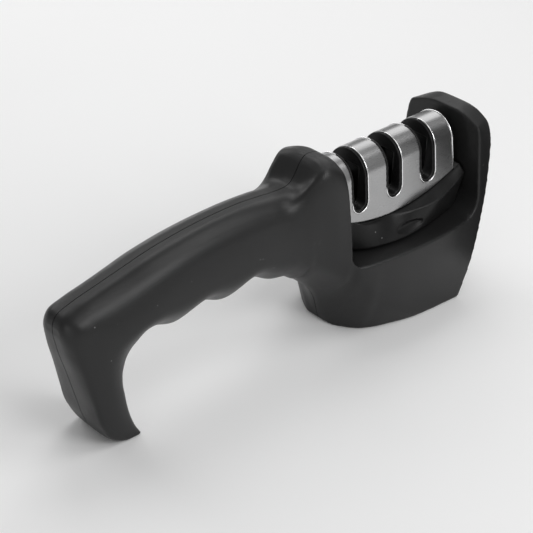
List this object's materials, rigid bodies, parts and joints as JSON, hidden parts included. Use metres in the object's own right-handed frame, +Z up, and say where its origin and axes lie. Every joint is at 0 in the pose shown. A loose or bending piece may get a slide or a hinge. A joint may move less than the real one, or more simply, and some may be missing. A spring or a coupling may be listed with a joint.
{
  "type": "knife sharpener",
  "caption": "Hand-held kitchen knife sharpener: hollow hooked handle with thumb stop, and a lift-out cartridge with slots for coarse, medium and fine honing.",
  "frame": {"origin": "on the table, below the middle slot, at the middle of the width", "axes": "+X from the hooked handle to the nose, +Y across the tool, +Z up"},
  "size_m": [0.2119, 0.0558, 0.0814],
  "materials": {
    "black_plastic": "satin soft-touch black moulding",
    "liner_plastic": "fine matt black moulding",
    "foot_rubber": "matt non-slip pad",
    "stainless_sheet": "brushed stainless sheet",
    "screw_steel": "plated screw",
    "spring_steel": "blank spring strip",
    "diamond_coat": "steel rod with a grey diamond grit coat",
    "tungsten_carbide": "ground tungsten carbide",
    "white_ceramic": "fine unglazed white ceramic"
  },
  "bodies": {
    "body": {"body_shell_left": "black_plastic", "body_shell_right": "black_plastic", "base_plate": "black_plastic", "foot_pad": "foot_rubber", "base_screw_1": "screw_steel", "base_screw_2": "screw_steel", "base_screw_3": "screw_steel", "base_screw_4": "screw_steel"},
    "cartridge": {"cartridge_housing": "liner_plastic", "cartridge_base": "liner_plastic", "diamond_holder": "liner_plastic", "carbide_holder": "liner_plastic", "ceramic_holder": "liner_plastic", "cartridge_cover": "stainless_sheet", "cartridge_screw_1": "screw_steel", "cartridge_screw_2": "screw_steel", "cartridge_screw_3": "screw_steel", "cartridge_screw_4": "screw_steel", "carbide_screw_1": "screw_steel", "carbide_screw_2": "screw_steel", "detent_spring_left": "spring_steel", "detent_spring_right": "spring_steel", "diamond_rod_1": "diamond_coat", "diamond_rod_2": "diamond_coat", "carbide_blade_1": "tungsten_carbide", "carbide_blade_2": "tungsten_carbide", "ceramic_rod_1": "white_ceramic", "ceramic_rod_2": "white_ceramic"}
  },
  "joints": [
    {"name": "cartridge_lift", "type": "slide", "parent": "body", "child": "cartridge", "axis": [0, 0, 1], "range_m": [0, 0.065]}
  ]
}
